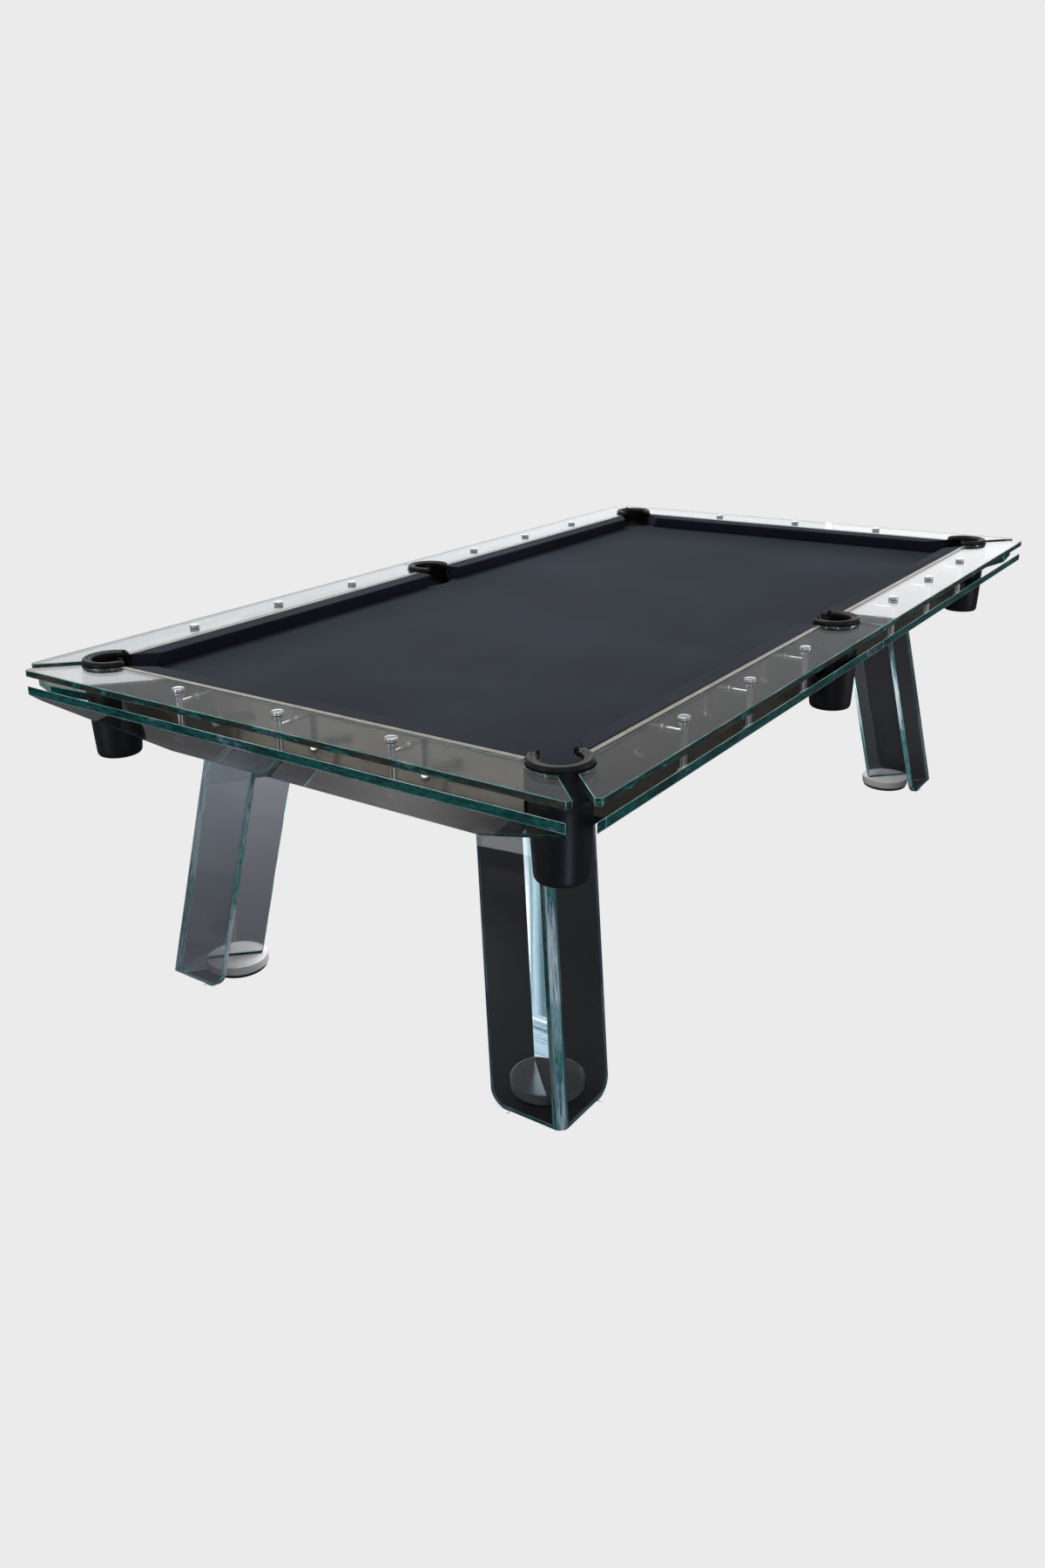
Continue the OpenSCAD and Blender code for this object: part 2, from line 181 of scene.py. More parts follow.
def add(material, kind, **inputs):
    """A new node of a material or world; inputs are values for its sockets."""
    made = material.node_tree.nodes.new(kind)
    for socket, value in inputs.items():
        made.inputs[socket.replace("_", " ")].default_value = value
    return made


def join(material, start, end):
    material.node_tree.links.new(start, end)


def switched(material, ray, usual, special, end="Material Output"):
    """Gives one kind of ray a special shader, and all other rays the usual one."""
    rays = add(material, "ShaderNodeLightPath")
    mix = add(material, "ShaderNodeMixShader")
    join(material, rays.outputs[ray], mix.inputs["Fac"])
    join(material, usual.outputs[0], mix.inputs[1])
    join(material, special.outputs[0], mix.inputs[2])
    join(material, mix.outputs["Shader"], material.node_tree.nodes[end].inputs["Surface"])


def place(material, stretch=(1, 1, 1), turn=(0, 0, 0)):
    """Object coordinates, stretched and turned."""
    source = add(material, "ShaderNodeTexCoord")
    mapping = add(material, "ShaderNodeMapping", Scale=stretch, Rotation=turn)
    join(material, source.outputs["Object"], mapping.inputs["Vector"])
    return mapping.outputs["Vector"]


def noise(material, vector, scale, detail=3, rough=0.5):
    made = add(material, "ShaderNodeTexNoise", Scale=scale, Detail=detail, Roughness=rough)
    join(material, vector, made.inputs["Vector"])
    return made.outputs["Fac"]


def ramp(material, factor, stops):
    """Colours along a factor; stops are (place, colour)."""
    made = add(material, "ShaderNodeValToRGB")
    points = made.color_ramp.elements
    points[0].position, points[0].color = stops[0][0], (*stops[0][1], 1)
    points[1].position, points[1].color = stops[-1][0], (*stops[-1][1], 1)
    for at, colour in stops[1:-1]:
        points.new(at).color = (*colour, 1)
    join(material, factor, made.inputs["Fac"])
    return made.outputs["Color"]


def span(material, factor, low, high):
    """Takes a factor from 0..1 to low..high."""
    made = add(material, "ShaderNodeMapRange", To_Min=low, To_Max=high)
    join(material, factor, made.inputs["Value"])
    return made.outputs["Result"]


def combine(material, first, second, kind="MULTIPLY"):
    made = add(material, "ShaderNodeMath")
    made.operation = kind
    join(material, first, made.inputs[0])
    join(material, second, made.inputs[1])
    return made.outputs["Value"]


def bumped(material, height, depth, strength=1.0):
    made = add(material, "ShaderNodeBump", Strength=strength, Distance=depth)
    join(material, height, made.inputs["Height"])
    join(material, made.outputs["Normal"], shader_of(material).inputs["Normal"])


def coloured(material, factor, stops):
    join(material, ramp(material, factor, stops), shader_of(material).inputs["Base Color"])


def roughened(material, factor, low, high):
    join(material, span(material, factor, low, high), shader_of(material).inputs["Roughness"])


# ---------------------------------------------------------------- finishes

def billiard_cloth():
    """Worsted cloth: a tight weave under a short nap, with faint paler patches from play."""
    m = finish("billiard_cloth", (0.02, 0.024, 0.036), 0.85, Sheen_Weight=0.06, Sheen_Roughness=0.5,
               Specular_IOR_Level=0.12, Sheen_Tint=(0.7, 0.8, 1.0, 1))
    warp = noise(m, place(m, (1, 7, 1)), 260, 2)
    weft = noise(m, place(m, (7, 1, 1)), 260, 2)
    weave = combine(m, warp, weft)
    patches = noise(m, place(m), 2.2, 3)
    tone = combine(m, weave, patches, "ADD")
    coloured(m, tone, [(0.45, (0.0155, 0.0190, 0.0265)), (0.75, (0.025, 0.0300, 0.041)),
                       (1.0, (0.036, 0.043, 0.058))])
    bumped(m, weave, 0.4 * MM, 0.5)
    return m


def lamps_through(m, tint):
    """Lets light from the lamps pass the glass, so that what is behind it is lit."""
    clear = add(m, "ShaderNodeBsdfTransparent", Color=(*tint, 1))
    switched(m, "Is Shadow Ray", shader_of(m), clear)


def plate_glass(name, tint, haze=0.02):
    """Polished float glass: clear through a face, teal where light runs along the plate."""
    m = finish(name, tint, 0.0, Transmission_Weight=1.0, IOR=1.5)
    if haze:
        roughened(m, noise(m, place(m), 14, 4), 0.0, haze)
    iron = add(m, "ShaderNodeVolumeAbsorption", Color=(0.1, 0.80, 0.76, 1), Density=2.5)
    join(m, iron.outputs["Volume"], m.node_tree.nodes["Material Output"].inputs["Volume"])
    lamps_through(m, tint)
    return m


def along_edge(m, stretch):
    """The map of a plate's edges, which runs across and along them."""
    uv = add(m, "ShaderNodeUVMap")
    uv.uv_map = "edge"
    stretched = add(m, "ShaderNodeMapping", Scale=stretch)
    join(m, uv.outputs["UV"], stretched.inputs["Vector"])
    return stretched.outputs["Vector"]


def glass_edge(name, stops, coarse, fine, clear=0.4):
    """Polished edge of a plate, coloured with painted light and painted reflections: blocks and slivers from
    near black to aqua stand in for what the glass gathers.
    """
    m = finish(name, (0.02, 0.2, 0.19), 0.08, Transmission_Weight=clear, IOR=1.5)
    blocks = noise(m, along_edge(m, coarse), 1.0, 2, 0.4)
    slivers = noise(m, along_edge(m, fine), 1.0, 3, 0.6)
    # Painted light: the blocks and slivers pick the edge's painted colours.
    painted_edge_light = combine(m, span(m, blocks, 0.0, 0.6), span(m, slivers, 0.0, 0.4), "ADD")
    coloured(m, painted_edge_light, stops)
    roughened(m, slivers, 0.03, 0.2)
    return m


def ground_arris():
    """Narrow ground strip along every glass edge: frosted teal, with aqua and near-white stretches that are
    painted glints.
    """
    m = finish("ground_arris", (0.05, 0.3, 0.29), 0.22, Coat_Weight=0.6, Coat_Roughness=0.05, IOR=1.5)
    stretches = noise(m, along_edge(m, (1.5, 9, 1)), 1.0, 3, 0.6)
    # The aqua and near-white stops are painted glints along the arris.
    coloured(m, stretches, [(0.32, (0.05, 0.25, 0.24)), (0.45, (0.13, 0.42, 0.40)),
                            (0.56, (0.34, 0.66, 0.63)), (0.70, (0.75, 0.9, 0.87))])
    return m


def dark_mirror():
    m = finish("dark_mirror", (0.75, 0.7, 0.63), 0.06, Metallic=1.0)
    cloudy = noise(m, place(m), 9, 3)
    coloured(m, cloudy, [(0.35, (0.50, 0.465, 0.41)), (0.7, (0.60, 0.56, 0.495))])
    roughened(m, noise(m, place(m), 30, 3), 0.04, 0.14)
    return m


def polished_chrome():
    m = finish("polished_chrome", (0.9, 0.91, 0.93), 0.05, Metallic=0.85)
    swirls = noise(m, place(m, (1, 1, 5)), 160, 3)
    roughened(m, swirls, 0.03, 0.12)
    return m


def brushed_steel():
    """Foot discs: fine brush marks all over."""
    m = finish("brushed_steel", (0.7, 0.7, 0.7), 0.25, Metallic=0.45, Anisotropic=0.5)
    brush = noise(m, place(m), 420, 3, 0.7)
    coloured(m, brush, [(0.3, (0.68, 0.68, 0.68)), (0.7, (0.95, 0.94, 0.92))])
    roughened(m, brush, 0.14, 0.34)
    bumped(m, brush, 0.05 * MM, 0.3)
    return m


def zinc_steel():
    m = finish("zinc_steel", (0.52, 0.52, 0.5), 0.35, Metallic=1.0)
    spangle = noise(m, place(m), 240, 3)
    coloured(m, spangle, [(0.3, (0.36, 0.37, 0.38)), (0.7, (0.6, 0.6, 0.57))])
    roughened(m, spangle, 0.25, 0.45)
    return m


def cup_leather(name, dark, light, scale, gloss):
    """Smooth hide: fine pebbled grain, a soft bluish gloss."""
    m = finish(name, dark, 0.42, Coat_Weight=gloss, Coat_Roughness=0.25, Specular_IOR_Level=0.22 + gloss)
    grain = add(m, "ShaderNodeTexVoronoi", Scale=scale)
    join(m, place(m), grain.inputs["Vector"])
    creases = noise(m, place(m), scale / 6, 4)
    coloured(m, creases, [(0.3, dark), (0.75, light)])
    roughened(m, creases, 0.34, 0.52)
    bumped(m, grain.outputs["Distance"], 0.25 * MM, 0.35)
    return m


def satin_wood():
    """Pale lacquered rail strip with long grain."""
    m = finish("satin_wood", (0.4, 0.33, 0.25), 0.35, Coat_Weight=0.4, Coat_Roughness=0.2)
    grain = noise(m, place(m, (1, 1, 30)), 40, 5, 0.7)
    coloured(m, grain, [(0.3, (0.27, 0.225, 0.17)), (0.55, (0.42, 0.36, 0.285)), (0.8, (0.55, 0.48, 0.39))])
    roughened(m, grain, 0.28, 0.45)
    return m


# Near black with a thin coat, for every face of the rail boards except the top strip.
def dark_board():
    m = finish("dark_board", (0.012, 0.011, 0.011), 0.35, Coat_Weight=0.2, Coat_Roughness=0.3)
    peel = noise(m, place(m), 300, 2)
    coloured(m, peel, [(0.3, (0.009, 0.009, 0.009)), (0.7, (0.02, 0.019, 0.019))])
    bumped(m, peel, 0.05 * MM, 0.2)
    return m


def frame_paint():
    m = finish("frame_paint", (0.02, 0.02, 0.022), 0.5)
    peel = noise(m, place(m), 220, 3)
    coloured(m, peel, [(0.3, (0.014, 0.014, 0.016)), (0.7, (0.03, 0.03, 0.032))])
    roughened(m, peel, 0.4, 0.6)
    bumped(m, peel, 0.1 * MM, 0.3)
    return m


def slate_stone():
    m = finish("slate_stone", (0.06, 0.065, 0.07), 0.6)
    veins = noise(m, place(m, (1, 4, 1)), 9, 6, 0.65)
    coloured(m, veins, [(0.3, (0.035, 0.038, 0.042)), (0.6, (0.07, 0.075, 0.08)), (0.8, (0.12, 0.125, 0.13))])
    roughened(m, veins, 0.5, 0.75)
    bumped(m, veins, 0.3 * MM, 0.3)
    return m


def pad_rubber():
    m = finish("pad_rubber", (0.02, 0.02, 0.02), 0.7)
    speckle = noise(m, place(m), 500, 3)
    coloured(m, speckle, [(0.3, (0.012, 0.012, 0.012)), (0.7, (0.03, 0.03, 0.03))])
    bumped(m, speckle, 0.1 * MM, 0.4)
    return m


def thread(name, colour):
    m = finish(name, colour, 0.6, Sheen_Weight=0.3)
    twist = noise(m, place(m), 900, 2)
    coloured(m, twist, [(0.3, tuple(c * 0.6 for c in colour)), (0.7, colour)])
    return m


CLOTH = billiard_cloth()
RAIL_GLASS = plate_glass("rail_glass", (0.95, 0.93, 0.90))
SLOPED_GLASS = plate_glass("sloped_glass", (0.46, 0.435, 0.41))
LEG_GLASS = plate_glass("leg_glass", (0.52, 0.51, 0.53), 0)
# Painted light and shade for the plate edges: near-black stops are painted shade, tan is a painted
# reflection, teal, aqua and blue are painted glow, and white is a painted highlight.
TOP_EDGE_PAINTED_LIGHT = [(0.40, (0.15, 0.13, 0.095)), (0.48, (0.05, 0.045, 0.03)), (0.51, (0.006, 0.05, 0.05)),
               (0.55, (0.02, 0.20, 0.19)), (0.58, (0.12, 0.42, 0.41)), (0.62, (0.03, 0.10, 0.12)),
               (0.68, (0.25, 0.44, 0.54))]
SLOPED_EDGE_PAINTED_LIGHT = [(0.38, (0.002, 0.03, 0.03)), (0.47, (0.006, 0.13, 0.12)), (0.53, (0.015, 0.24, 0.22)),
             (0.57, (0.004, 0.05, 0.05)), (0.61, (0.12, 0.30, 0.40)), (0.68, (0.30, 0.56, 0.58))]
LEG_EDGE_PAINTED_LIGHT = [(0.36, (0.008, 0.10, 0.10)), (0.43, (0.18, 0.52, 0.52)), (0.48, (0.04, 0.20, 0.21)),
                 (0.52, (0.36, 0.58, 0.74)), (0.57, (0.80, 0.95, 0.97)), (0.65, (1.0, 1.0, 1.0))]
TOP_EDGE = glass_edge("top_edge", TOP_EDGE_PAINTED_LIGHT, (0.3, 9, 1), (3.5, 45, 1), 0.5)
SLOPED_EDGE = glass_edge("sloped_edge", SLOPED_EDGE_PAINTED_LIGHT, (0.3, 7, 1), (2.5, 30, 1), 0.3)
LEG_EDGE = glass_edge("leg_edge", LEG_EDGE_PAINTED_LIGHT, (1.2, 4, 1), (5.0, 20, 1), 0.25)
ARRIS = ground_arris()
MIRROR = dark_mirror()
CHROME = polished_chrome()
DISC_STEEL = brushed_steel()
ZINC = zinc_steel()
CUP_LEATHER = cup_leather("cup_leather", (0.0065, 0.0068, 0.0085), (0.0115, 0.012, 0.0155), 900, 0.16)
COLLAR_LEATHER = cup_leather("collar_leather", (0.006, 0.005, 0.0045), (0.012, 0.010, 0.009), 700, 0.08)
WOOD = satin_wood()
DARK_BOARD = dark_board()
PAINT = frame_paint()
STONE = slate_stone()
RUBBER = pad_rubber()
THREAD = thread("seam_thread", (0.09, 0.09, 0.10))


# ---------------------------------------------------------------- glass plates

def ground_plate(node, name, glass, edge, arris=1.4 * MM):
    """A plate with ground arrises; its edges carry a map that runs across and along them."""
    bm = cad_copy(node)
    soften(bm, arris, 1, finish_at=1)
    uv = bm.loops.layers.uv.new("edge")
    for faces in solids(bm):
        flat = max(faces, key=lambda f: f.calc_area()).normal.copy()
        heights = [v.co.dot(flat) for f in faces for v in f.verts]
        low = min(heights)
        thick = max(heights) - low
        for face in faces:
            if face.material_index == 0 and abs(face.normal.dot(flat)) < 0.95:
                face.material_index = 2
            along = flat.cross(face.normal)
            if along.length > 0.1:
                along.normalize()
            for loop in face.loops:
                loop[uv].uv = ((loop.vert.co.dot(flat) - low) / thick, loop.vert.co.dot(along))
    made = piece(name, bm, [glass, ARRIS, edge], crease=20)
    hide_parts(node)


def free_mitres(corner, gap=0.3 * MM):
    """Leaves a glue line between the mitred ends of a leg's flanks and its diagonal plate."""
    mesh = bpy.data.objects["leg_glass_flanks_" + corner].data
    smallest = 50 * MM * 15 * MM
    bm = bmesh.new()
    bm.from_mesh(mesh)
    for faces in solids(bm):
        flat = max(faces, key=lambda f: f.calc_area()).normal.copy()
        slanted = [f for f in faces if 0.5 < abs(f.normal.dot(flat)) < 0.9]
        for face in [f for f in slanted if f.calc_area() > smallest]:
            bmesh.ops.translate(bm, verts=face.verts, vec=-gap * face.normal)
    bm.to_mesh(mesh)
    bm.free()


def glass_rails():
    for rail in RAILS:
        ground_plate("top_glass_" + rail, "top_plate_" + rail, RAIL_GLASS, TOP_EDGE)
        ground_plate("sloped_glass_" + rail, "sloped_plate_" + rail, SLOPED_GLASS, SLOPED_EDGE)


def glass_legs():
    for corner in CORNERS:
        ground_plate("leg_flanks_" + corner, "leg_glass_flanks_" + corner, LEG_GLASS, LEG_EDGE)
        free_mitres(corner)
        ground_plate("leg_spine_" + corner, "leg_glass_spine_" + corner, LEG_GLASS, LEG_EDGE)


# ---------------------------------------------------------------- bed, cushions and boards

def cushions():
    for rail in RAILS:
        bm = cad_copy("cushion_" + rail)
        soften(bm, 2.2 * MM, 3)
        made = piece("cloth_cushion_" + rail, bm, [CLOTH])
        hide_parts("cushion_" + rail)


def stretched_cloth():
    bm = cad_copy("bed_cloth")
    soften(bm, 0.4 * MM, 2)
    made = piece("cloth_bed", bm, [CLOTH])
    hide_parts("bed_cloth")


def rail_strips():
    """Rail boards: only the strip that shows between cushion and glass is wood-coloured; every other face is
    near black.
    """
    bm = cad_copy("rail_boards")
    soften(bm, 0.8 * MM, 2, finish_at=1)
    for face in bm.faces:
        face.material_index = 1
    top = [f for f in bm.faces if f.normal.z > 0.9 and f.calc_area() > 100 * MM * MM]
    bmesh.ops.inset_individual(bm, faces=top, thickness=1.2 * MM)
    for face in top:
        face.material_index = 0
    made = piece("rail_strips", bm, [WOOD, DARK_BOARD])
    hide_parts("rail_boards")


# ---------------------------------------------------------------- posts

POSTS = solid_centres("post_shafts")
END_POSTS = max(at.x for at in POSTS)
POST_RADIUS = 7 * MM
CAP_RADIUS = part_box("post_caps")[1].x - END_POSTS
FASCIA_GAP = END_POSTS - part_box("fascia_plates")[1].x


def post_places():
    """Axis of each post with +X turned outwards."""
    found = []
    for at in POSTS:
        on_end = abs(at.x) > END_POSTS - 1 * MM
        out = math.atan2(0, at.x) if on_end else math.atan2(at.y, 0)
        found.append(Matrix.Translation((at.x, at.y, 0)) @ Matrix.Rotation(out, 4, "Z"))
    return found


def slope_angle():
    """How far the sloped plates lean from level."""
    face = max(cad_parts["sloped_glass_right"].data.polygons, key=lambda p: p.area)
    return math.acos(abs(face.normal.z))


def post_set(name, part, node, finishes=None):
    """One piece with a copy of a part at every post."""
    bm = bmesh.new()
    for at in post_places():
        stamp(bm, part, at)
    part.free()
    made = piece(name, bm, finishes or [CHROME])
    if node:
        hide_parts(node)


def post_caps():
    r = CAP_RADIUS
    bore = POST_RADIUS + 0.2 * MM
    low = GLASS_TOP + 0.7 * MM
    cap = lathe([(0, low), (r - 0.6 * MM, low), (r, low + 0.6 * MM), (r, low + 2.0 * MM),
                 (r - 1.3 * MM, low + 2.5 * MM), (r - 1.3 * MM, low + 3.2 * MM), (r, low + 3.7 * MM),
                 (r, low + 6.2 * MM), (r - 0.5 * MM, low + 6.9 * MM), (r - 1.4 * MM, low + 7.2 * MM),
                 (r * 0.5, low + 7.3 * MM), (0, low + 7.3 * MM)])
    post_set("chrome_post_caps", cap, "post_caps")
    washer_low, washer_high = GLASS_TOP + 0.05 * MM, GLASS_TOP + 0.68 * MM
    washer = lathe([(bore, washer_low), (r - 0.5 * MM, washer_low), (r - 0.5 * MM, washer_high),
                    (bore, washer_high), (bore, washer_low)], 40)
    post_set("post_washers", washer, None, [RUBBER])


def post_shafts():
    r = POST_RADIUS
    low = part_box("post_shafts")[0].z + 3 * MM
    nut = GLASS_UNDER - 4.2 * MM
    shaft = lathe([(0, low), (r, low), (r, nut - 1.4 * MM), (r + 1.4 * MM, nut - 1.2 * MM),
                   (r + 2.6 * MM, nut), (r + 3 * MM, nut + 0.6 * MM), (r + 3 * MM, GLASS_UNDER - 0.6 * MM),
                   (r + 2.6 * MM, GLASS_UNDER - 0.2 * MM), (r, GLASS_UNDER - 0.2 * MM),
                   (r, GLASS_TOP + 0.5 * MM), (0, GLASS_TOP + 0.5 * MM)])
    post_set("chrome_post_shafts", shaft, "post_shafts")


def post_feet():
    """Tilted domed flanges on the sloped plates."""
    lean = slope_angle()
    half_foot = 2.5 * MM
    base = Matrix.Translation((0, 0, centre(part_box("post_feet")).z - half_foot / math.cos(lean)))
    tilt = base @ Matrix.Rotation(-lean, 4, "Y")
    r = CAP_RADIUS
    flange = lathe([(0, 0.2 * MM), (r - 0.5 * MM, 0.2 * MM), (r, 0.7 * MM), (r, 2.6 * MM),
                    (r - 0.8 * MM, 3.4 * MM), (POST_RADIUS + 1.5 * MM, 4.6 * MM),
                    (POST_RADIUS + 1 * MM, 5.4 * MM), (0, 5.4 * MM)])
    flange.transform(tilt)
    post_set("chrome_post_feet", flange, "post_feet")


def post_pins():
    """Pins from the fascia into the posts, with a flange on the fascia."""
    pin_z = centre(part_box("post_pins")).z
    tip = FASCIA_GAP - POST_RADIUS + 1 * MM
    pin = lathe([(0, 0.2 * MM), (7.6 * MM, 0.2 * MM), (8 * MM, 0.6 * MM), (8 * MM, 1.4 * MM),
                 (7.2 * MM, 2.2 * MM), (4.6 * MM, 2.8 * MM), (4 * MM, 3.6 * MM), (4 * MM, tip), (0, tip)], 32)
    pin.transform(Matrix.Translation((-FASCIA_GAP, 0, pin_z)) @ Matrix.Rotation(math.pi / 2, 4, "Y"))
    post_set("chrome_post_pins", pin, "post_pins")


# ---------------------------------------------------------------- pockets

def pocket_place(name):
    """A pocket's own frame: Z up its axis, +X to the middle of the field."""
    at = pocket_centre(name)
    inward = math.atan2(-at.y, -middle_sign(at.x) * abs(at.y) if name in CORNERS else 0)
    return Matrix.Translation((at.x, at.y, 0)) @ Matrix.Rotation(inward, 4, "Z")


WALL = 3.2 * MM
MOUTH_HALF = 48 * MM
SEAM = SLATE_UNDER + 3 * MM
COLLAR_OUTER = 59.5 * MM
COLLAR_INNER = 39.5 * MM
COLLAR_HALF_OPENING = math.radians(58)


def cup_profile():
    """Outside of a cup from the middle of its foot to its rim, with the seam's pinch."""
    r = CUP_RADIUS
    foot = r - 13 * MM
    heel = CUP_BASE + 10 * MM
    rows = [(0, CUP_BASE + 2 * MM), (foot * 0.6, CUP_BASE + 1.4 * MM), (foot - 8 * MM, CUP_BASE + 0.2 * MM),
            (foot - 3.4 * MM, CUP_BASE + 1.2 * MM), (foot - 1.2 * MM, CUP_BASE + 4 * MM), (foot, heel)]
    body = 9
    for i in range(1, body + 1):
        t = i / body
        rows.append((foot + (r - 5.5 * MM - foot) * t + 0.9 * MM * math.sin(math.pi * t),
                     heel + (SEAM - 3 * MM - heel) * t))
    rows += [(r - 6.6 * MM, SEAM - 0.8 * MM), (r - 6.6 * MM, SEAM + 0.8 * MM),
             (r - 4.6 * MM, SEAM + 2.6 * MM), (r - 1.6 * MM, SEAM + 9 * MM),
             (r - 0.3 * MM, SEAM + 17 * MM), (r - 0.3 * MM, SEAM + 26 * MM),
             (r - 1.2 * MM, GLASS_UNDER - 13 * MM), (r - 3.2 * MM, GLASS_UNDER - 4 * MM),
             (r - 3.8 * MM, GLASS_UNDER), (r - 3.8 * MM, GLASS_TOP - 0.4 * MM)]
    return rows


def cut_across(bm, point, normal):
    """Cuts the faces along a plane and keeps both sides."""
    everything = bm.verts[:] + bm.edges[:] + bm.faces[:]
    bmesh.ops.bisect_plane(bm, geom=everything, plane_co=point, plane_no=normal)


def cup_shell():
    """A cup with puckers along its seam, cut open where the ball comes in."""
    bm = lathe(cup_profile(), 96)
    puckers = 48
    for v in bm.verts:
        pinch = math.exp(-((v.co.z - SEAM) / (7 * MM)) ** 2)
        ripple = 1 + 0.006 * pinch * math.sin(math.atan2(v.co.y, v.co.x) * puckers)
        v.co.x *= ripple
        v.co.y *= ripple
    sill = CLOTH_Z - 1 * MM
    for side in (-1, 1):
        cut_across(bm, (0, side * MOUTH_HALF, 0), (0, 1, 0))
    cut_across(bm, (0, 0, sill), (0, 0, 1))
    middles = {face: face.calc_center_median() for face in bm.faces}
    mouth = [f for f, at in middles.items() if at.z > sill and at.x > 0 and abs(at.y) < MOUTH_HALF]
    bmesh.ops.delete(bm, geom=mouth, context="FACES")
    bmesh.ops.recalc_face_normals(bm, faces=bm.faces)
    bmesh.ops.solidify(bm, geom=bm.faces[:], thickness=WALL)
    return bm


def stitch(length, thick):
    bm = bmesh.new()
    bmesh.ops.create_icosphere(bm, subdivisions=1, radius=1)
    bm.transform(Matrix.Diagonal((thick / 2, length / 2, thick / 2, 1)))
    return bm


def cup_stitches():
    """Two rows of stitches either side of the seam."""
    bm = bmesh.new()
    one = stitch(4.6 * MM, 1.1 * MM)
    count = 64
    for height, radius in ((-4.2 * MM, CUP_RADIUS - 5.3 * MM), (4.0 * MM, CUP_RADIUS - 3.9 * MM)):
        for i in range(count):
            turn = Matrix.Rotation(2 * math.pi * i / count, 4, "Z")
            stamp(bm, one, turn @ Matrix.Translation((radius, 0, SEAM + height)))
    one.free()
    return bm


def collar_band(z):
    """Horseshoe band with a raised outer bead and an inner lip."""
    outer, inner = COLLAR_OUTER, COLLAR_INNER
    rows = [(inner, z), (outer - 1 * MM, z), (outer, z + 1.2 * MM), (outer + 0.1 * MM, z + 5 * MM),
            (outer - 1.2 * MM, z + 9.4 * MM), (outer - 4 * MM, z + 11.6 * MM),
            (outer - 7.4 * MM, z + 11.2 * MM), (outer - 9.6 * MM, z + 9.4 * MM),
            (outer - 11.2 * MM, z + 8.6 * MM), (inner + 6 * MM, z + 9.2 * MM),
            (inner + 3 * MM, z + 9.6 * MM), (inner + 0.9 * MM, z + 8.4 * MM), (inner, z + 6 * MM)]
    bm = bmesh.new()
    band = bm.faces.new([bm.verts.new((r, 0, h)) for r, h in rows])
    bmesh.ops.transform(bm, matrix=Matrix.Rotation(COLLAR_HALF_OPENING, 4, "Z"), verts=bm.verts)
    bmesh.ops.spin(bm, geom=[band] + band.edges[:] + band.verts[:], cent=(0, 0, 0), axis=(0, 0, 1),
                   angle=2 * math.pi - 2 * COLLAR_HALF_OPENING, steps=56, use_merge=False)
    return bm


def collar():
    """The band with its rounded ends and their small upturned ears."""
    z = GLASS_TOP + 0.15 * MM
    bm = collar_band(z)
    end = lathe([(0, z), (9.4 * MM, z), (10 * MM, z + 2 * MM), (9.6 * MM, z + 6.5 * MM),
                 (7 * MM, z + 9.2 * MM), (0, z + 9.8 * MM)], 32)
    end.transform(Matrix.Translation(((COLLAR_OUTER + COLLAR_INNER) / 2, 0, 0)))
    ear = lathe([(0, z + 1 * MM), (2.6 * MM, z + 2 * MM), (2.8 * MM, z + 7 * MM), (2.2 * MM, z + 12 * MM),
                 (1.1 * MM, z + 15 * MM), (0, z + 15.8 * MM)], 24)
    ear.transform(Matrix.Translation((COLLAR_INNER + 4 * MM, 0, 0)) @ Matrix.Diagonal((1, 2.4, 1, 1)))
    for side in (-1, 1):
        stamp(bm, end, Matrix.Rotation(side * COLLAR_HALF_OPENING, 4, "Z"))
        stamp(bm, ear, Matrix.Rotation(side * (COLLAR_HALF_OPENING - math.radians(6)), 4, "Z"))
    end.free()
    ear.free()
    bmesh.ops.recalc_face_normals(bm, faces=bm.faces)
    return bm


def pockets():
    collars = bmesh.new()
    seams = bmesh.new()
    one_collar = collar()
    stitches = cup_stitches()
    for name in POCKETS:
        at = pocket_place(name)
        cup = cup_shell()
        cup.transform(at)
        made = piece("leather_cup_" + name, cup, [CUP_LEATHER], crease=40)
        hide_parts("pocket_cup_" + name)
        stamp(collars, one_collar, at)
        stamp(seams, stitches, at)
    one_collar.free()
    stitches.free()
    made = piece("leather_collars", collars, [COLLAR_LEATHER], crease=50)
    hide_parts("pocket_collars")
    piece("cup_stitches", seams, [THREAD])


# ---------------------------------------------------------------- feet

def feet():
    """Steel discs with a shallow groove near the rim, open underneath for the levelling screw."""
    for corner in CORNERS:
        low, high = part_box("foot_disc_" + corner)
        at = centre((low, high))
        r = (high.x - low.x) / 2
        h = high.z - low.z
        disc = lathe([(10.2 * MM, 0), (r - 1.4 * MM, 0), (r - 0.4 * MM, 0.4 * MM), (r, 1.4 * MM),
                      (r, h - 2 * MM), (r - 0.5 * MM, h - 0.7 * MM), (r - 1.8 * MM, h), (r - 5 * MM, h),
                      (r - 5.6 * MM, h - 0.5 * MM), (r - 6.4 * MM, h - 0.5 * MM), (r - 7 * MM, h),
                      (0, h)], 96)
        disc.transform(Matrix.Translation((at.x, at.y, low.z)))
        made = piece("steel_disc_" + corner, disc, [DISC_STEEL])
        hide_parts("foot_disc_" + corner)


# ---------------------------------------------------------------- carried-over nodes

def dress(node, material):
    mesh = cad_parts[node].data
    mesh.materials.clear()
    mesh.materials.append(material)


def carried_over():
    for name in ("left", "middle", "right"):
        dress("slate_" + name, STONE)
    for node in ("frame_side_beams", "frame_end_beams", "frame_cross_beams", "leg_mounting_plates"):
        dress(node, PAINT)
    dress("frame_bolts", ZINC)
    dress("fascia_plates", MIRROR)
    for corner in CORNERS:
        dress("level_pad_" + corner, RUBBER)
        dress("level_screw_" + corner, ZINC)


# ---------------------------------------------------------------- studio

